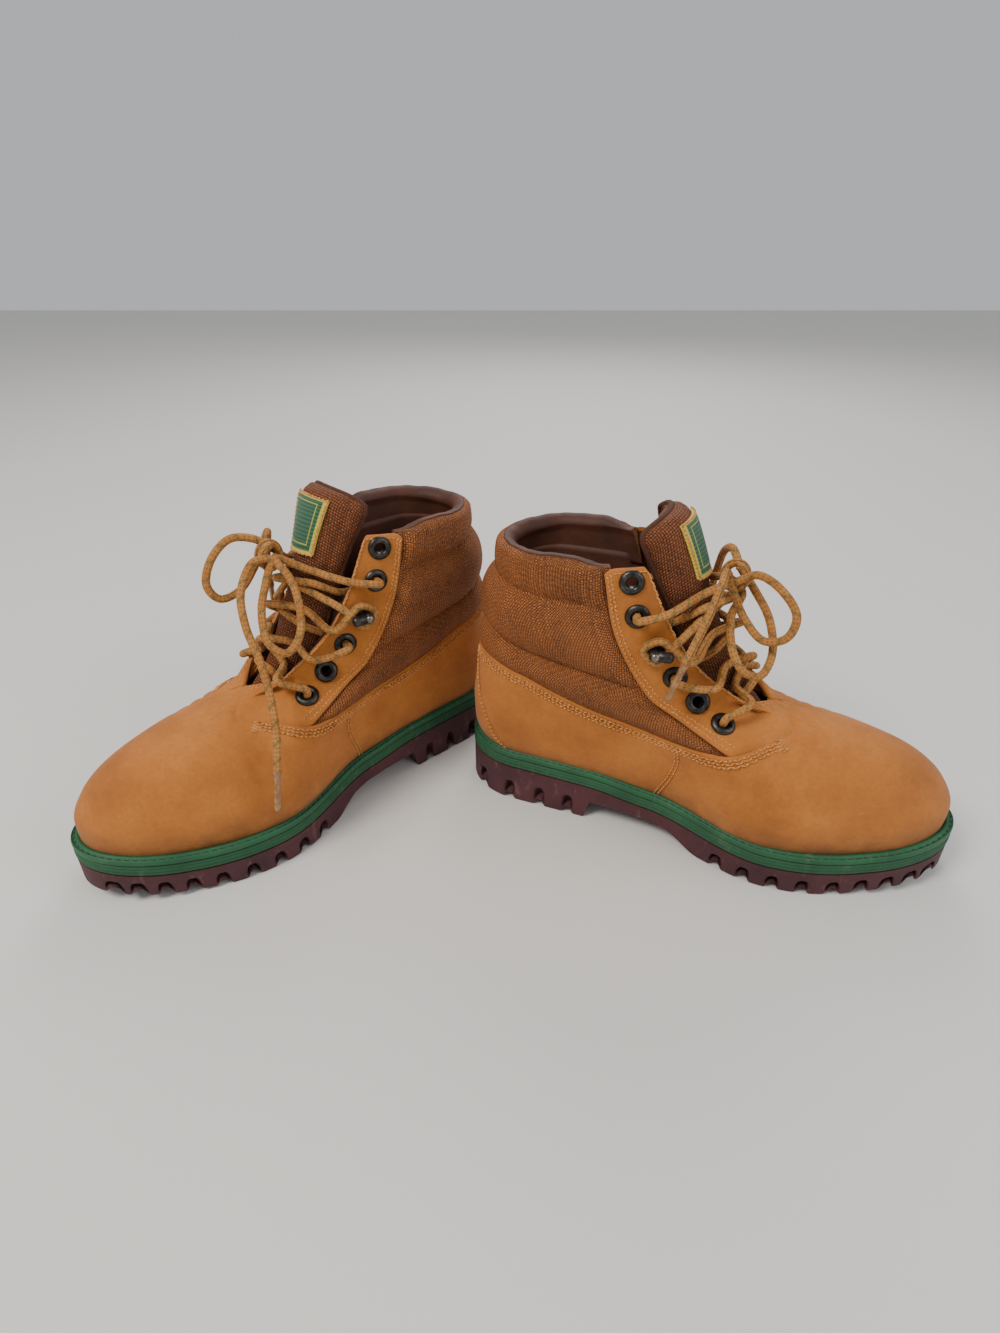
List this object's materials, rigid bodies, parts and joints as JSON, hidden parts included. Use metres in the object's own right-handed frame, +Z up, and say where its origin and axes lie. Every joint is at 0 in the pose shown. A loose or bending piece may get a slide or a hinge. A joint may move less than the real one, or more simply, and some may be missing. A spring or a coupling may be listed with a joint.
{
  "type": "hiking boots",
  "caption": "Pair of ankle-high lace-up hiking boots with lugged soles, nubuck uppers, quilted woven collars, padded tongues and tied laces.",
  "frame": {"origin": "on the floor under the middle of the pair's box, laces left out", "axes": "+X from the left boot to the right boot across the pair's longest side, +Y from the toes to the heels, +Z up"},
  "size_m": [0.5162, 0.2196, 0.204],
  "materials": {
    "outsole_rubber": "matte moulded rubber",
    "midsole_rubber": "matte moulded rubber",
    "welt_rubber": "satin moulded rubber with sewn groove",
    "insole_board": "pressed fibre board",
    "footbed_textile": "brushed textile over foam",
    "nubuck": "oiled nubuck, fine nap",
    "woven_nylon": "coarse ballistic weave",
    "smooth_lining": "smooth lining leather",
    "woven_label": "woven patch with a merrowed edge",
    "gunmetal": "dark plated metal, worn at the rims",
    "lace_braid": "round braided cord",
    "aglet_plastic": "clear heat-shrunk tip"
  },
  "bodies": {
    "right_boot": {"right_outsole": "outsole_rubber", "right_midsole": "midsole_rubber", "right_welt": "welt_rubber", "right_insole_board": "insole_board", "right_footbed": "footbed_textile", "right_vamp": "nubuck", "right_quarter_lateral": "nubuck", "right_quarter_medial": "nubuck", "right_heel_strip": "nubuck", "right_eyestay_lateral": "nubuck", "right_eyestay_medial": "nubuck", "right_quilted_collar": "woven_nylon", "right_collar_lining": "smooth_lining", "right_eyelet_lateral_1": "gunmetal", "right_eyelet_lateral_2": "gunmetal", "right_eyelet_lateral_3": "gunmetal", "right_eyelet_lateral_4": "gunmetal", "right_eyelet_lateral_5": "gunmetal", "right_hook_lateral": "gunmetal", "right_eyelet_medial_1": "gunmetal", "right_eyelet_medial_2": "gunmetal", "right_eyelet_medial_3": "gunmetal", "right_eyelet_medial_4": "gunmetal", "right_eyelet_medial_5": "gunmetal", "right_hook_medial": "gunmetal", "right_lace": "lace_braid", "right_aglet_lateral": "aglet_plastic", "right_aglet_medial": "aglet_plastic"},
    "right_tongue_flap": {"right_tongue": "woven_nylon", "right_tongue_label": "woven_label"},
    "left_boot": {"left_outsole": "outsole_rubber", "left_midsole": "midsole_rubber", "left_welt": "welt_rubber", "left_insole_board": "insole_board", "left_footbed": "footbed_textile", "left_vamp": "nubuck", "left_quarter_lateral": "nubuck", "left_quarter_medial": "nubuck", "left_heel_strip": "nubuck", "left_eyestay_lateral": "nubuck", "left_eyestay_medial": "nubuck", "left_quilted_collar": "woven_nylon", "left_collar_lining": "smooth_lining", "left_eyelet_lateral_1": "gunmetal", "left_eyelet_lateral_2": "gunmetal", "left_eyelet_lateral_3": "gunmetal", "left_eyelet_lateral_4": "gunmetal", "left_eyelet_lateral_5": "gunmetal", "left_hook_lateral": "gunmetal", "left_eyelet_medial_1": "gunmetal", "left_eyelet_medial_2": "gunmetal", "left_eyelet_medial_3": "gunmetal", "left_eyelet_medial_4": "gunmetal", "left_eyelet_medial_5": "gunmetal", "left_hook_medial": "gunmetal", "left_lace": "lace_braid", "left_aglet_lateral": "aglet_plastic", "left_aglet_medial": "aglet_plastic"},
    "left_tongue_flap": {"left_tongue": "woven_nylon", "left_tongue_label": "woven_label"}
  },
  "joints": [
    {"name": "left_boot_lift", "type": "slide", "parent": "right_boot", "child": "left_boot", "axis": [0, 0, 1], "range_m": [0, 0.25]},
    {"name": "right_tongue_fold", "type": "hinge", "parent": "right_boot", "child": "right_tongue_flap", "pos_m": [0.16192, -0.047, 0.079], "axis": [-0.36, -0.933, 0], "range_deg": [0, 8], "stiffness_Nm_per_rad": 0.15, "springref_deg": -20.05},
    {"name": "left_tongue_fold", "type": "hinge", "parent": "left_boot", "child": "left_tongue_flap", "pos_m": [-0.17428, -0.03611, 0.079], "axis": [-0.6794, 0.7337, 0], "range_deg": [0, 8], "stiffness_Nm_per_rad": 0.15, "springref_deg": -20.05}
  ]
}
